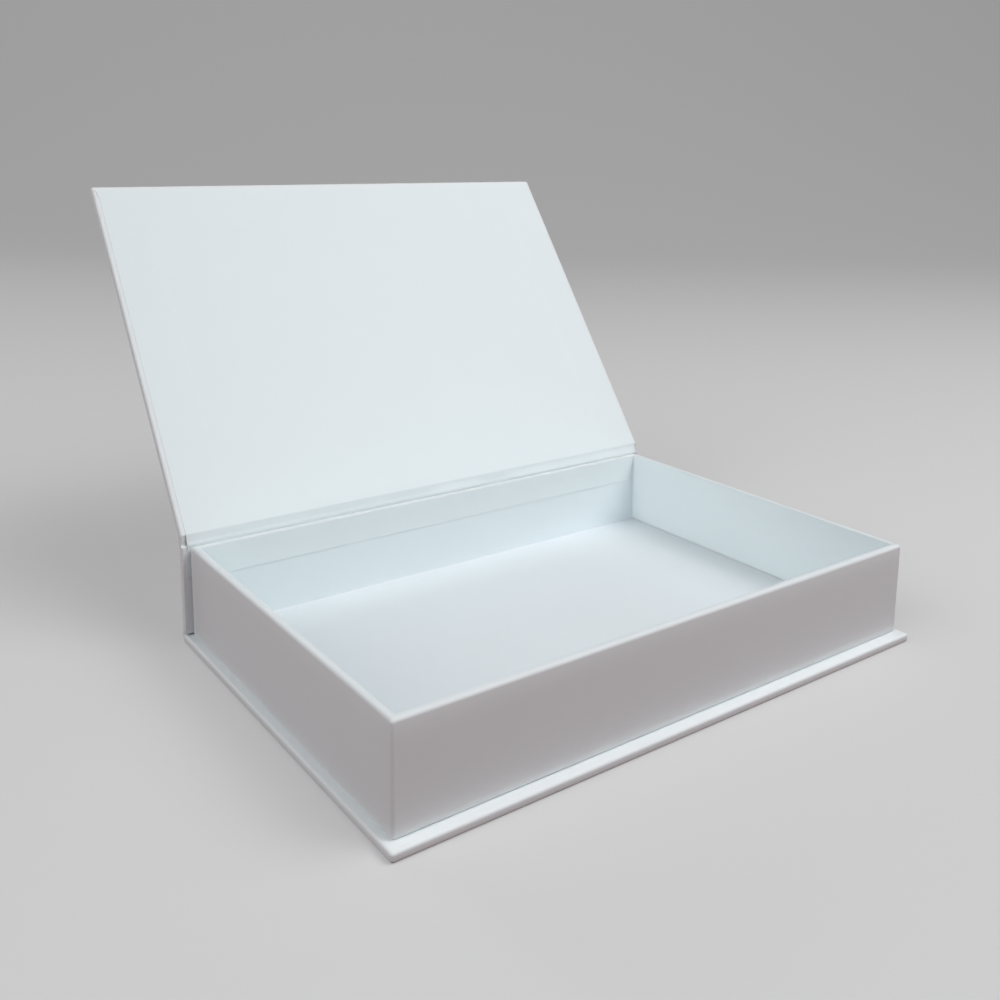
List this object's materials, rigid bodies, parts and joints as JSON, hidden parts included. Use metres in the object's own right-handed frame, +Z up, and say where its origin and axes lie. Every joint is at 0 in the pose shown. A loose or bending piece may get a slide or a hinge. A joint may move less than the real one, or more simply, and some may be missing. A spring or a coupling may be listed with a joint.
{
  "type": "hinged book box",
  "caption": "Rigid paper-covered book box: an open tray glued in a case of base, spine and lid boards, with a flat lid on a paper hinge along the spine.",
  "frame": {"origin": "centre of the base panel's underside, on the surface that the box stands on", "axes": "+Z up, +X along the hinge to the right, -Y out of the front wall, +Y to the spine; the lid is drawn open by 126.5 degrees"},
  "size_m": [0.246, 0.2685, 0.1803],
  "materials": {
    "covering_paper": "smooth coated white paper with a faint cool cast, matt",
    "lining_paper": "smooth bluish-white paper, matt",
    "greyboard": "solid grey recycled board, fibrous",
    "stay_tape": "brown gummed paper tape"
  },
  "bodies": {
    "box": {"base_board": "greyboard", "spine_board": "greyboard", "case_wrap_base": "covering_paper", "case_wrap_spine": "covering_paper", "case_wrap_joint": "covering_paper", "liner_joint": "lining_paper", "liner_tuck": "lining_paper", "tray_floor_board": "greyboard", "tray_front_board": "greyboard", "tray_rear_board": "greyboard", "tray_left_board": "greyboard", "tray_right_board": "greyboard", "corner_stay_front_left": "stay_tape", "corner_stay_front_right": "stay_tape", "corner_stay_rear_left": "stay_tape", "corner_stay_rear_right": "stay_tape", "tray_wrap": "covering_paper", "tray_front_lining": "lining_paper", "tray_rear_lining": "lining_paper", "tray_floor_paper": "lining_paper"},
    "lid": {"lid_board": "greyboard", "case_wrap_lid": "covering_paper", "lid_liner": "lining_paper"}
  },
  "joints": [
    {"name": "lid_hinge", "type": "hinge", "parent": "box", "child": "lid", "pos_m": [0, 0.08415, 0.0442], "axis": [-1, 0, 0], "range_deg": [-126.5, 68], "deforming": ["case_wrap_joint", "liner_joint"]}
  ]
}
